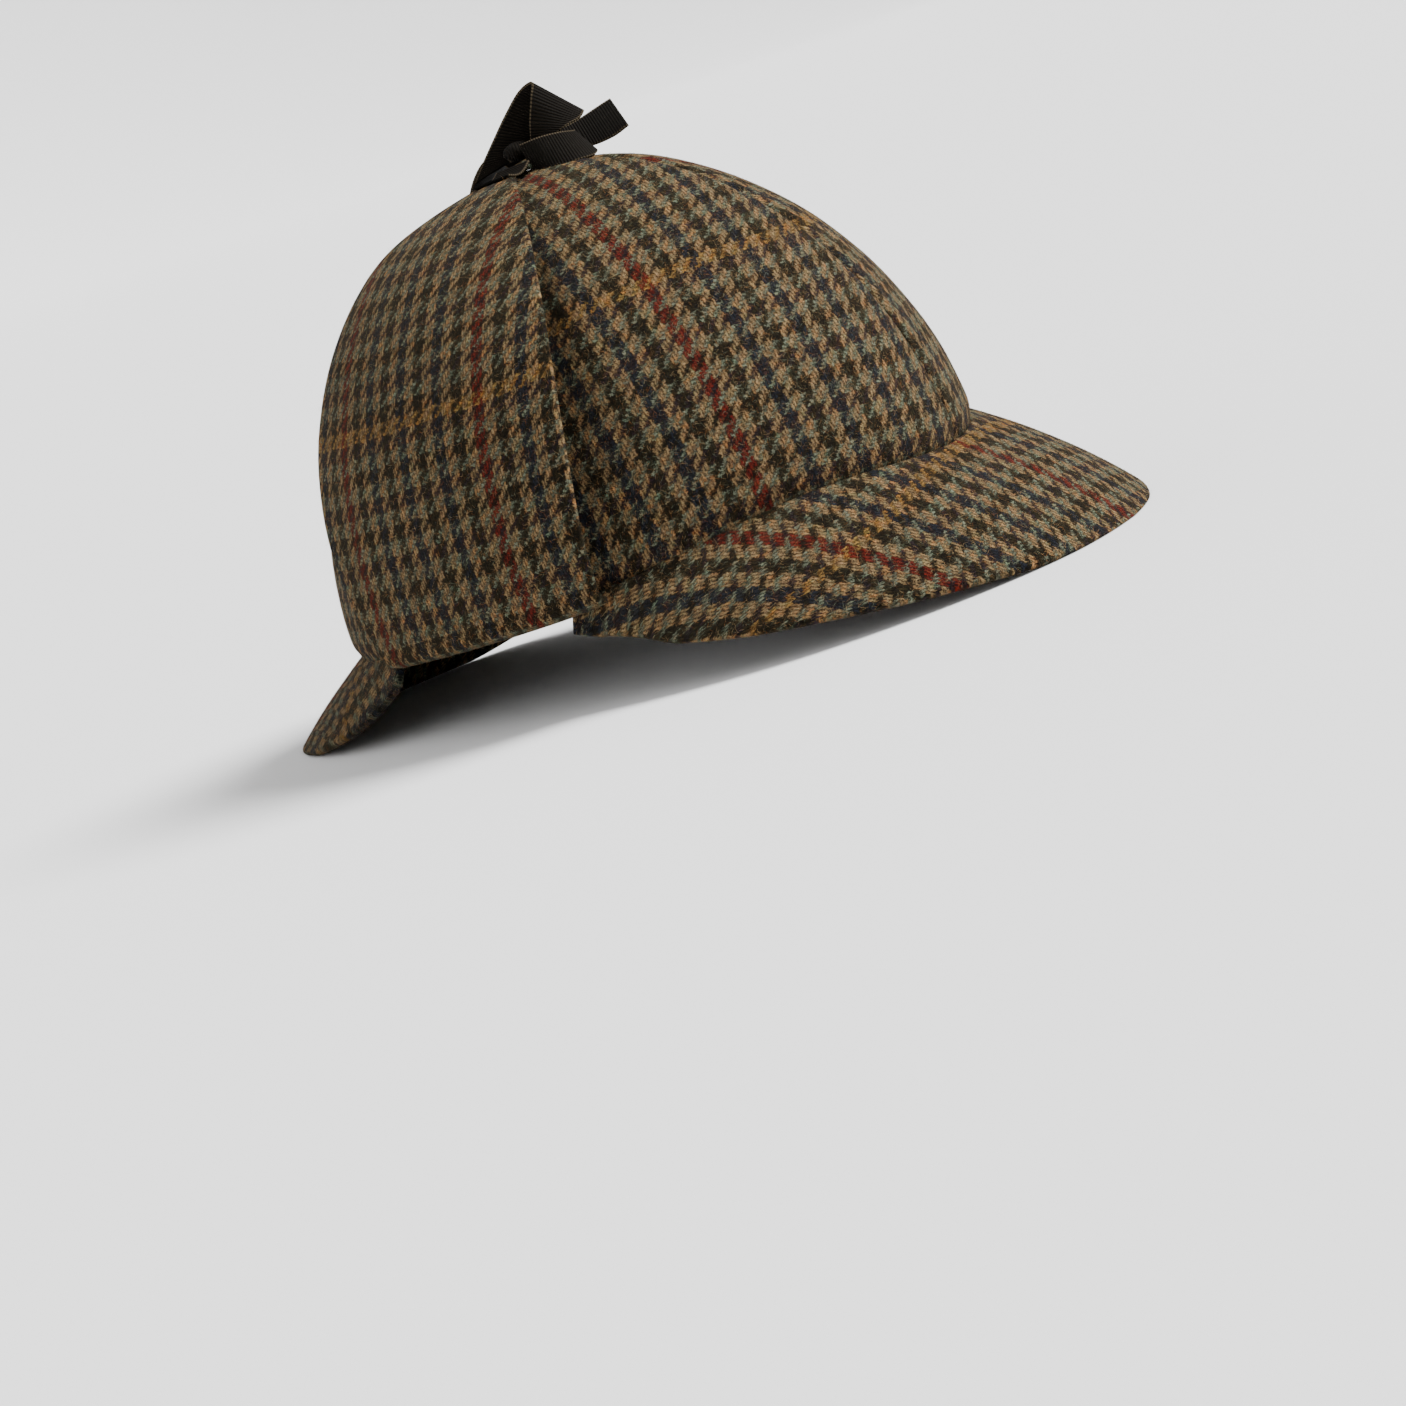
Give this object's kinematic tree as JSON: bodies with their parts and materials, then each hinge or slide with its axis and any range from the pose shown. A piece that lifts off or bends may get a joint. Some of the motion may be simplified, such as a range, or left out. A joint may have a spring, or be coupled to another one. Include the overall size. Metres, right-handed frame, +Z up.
{
  "type": "deerstalker hat",
  "caption": "Tweed deerstalker hat with a front and a back peak, ear flaps folded up over the crown and tied on top with a dark ribbon bow.",
  "frame": {"origin": "on the surface that the hat stands on, below the middle of its box", "axes": "-Y is the front of the hat, +X is the wearer's left, +Z is up"},
  "size_m": [0.1822, 0.2764, 0.1694],
  "materials": {
    "tweed": "matte",
    "ribbon": "matte"
  },
  "bodies": {
    "root": {"crown_panel_front_right": "tweed", "crown_panel_front_left": "tweed", "crown_panel_back_right": "tweed", "crown_panel_back_left": "tweed", "front_peak": "tweed", "back_peak": "tweed", "ear_flap_right": "tweed", "ear_flap_left": "tweed", "top_button": "tweed", "ribbon_tie_right": "ribbon", "ribbon_tie_left": "ribbon", "ribbon_knot": "ribbon", "ribbon_loop_tall": "ribbon", "ribbon_loop_low": "ribbon", "ribbon_end_front": "ribbon", "ribbon_end_back": "ribbon"}
  },
  "joints": []
}
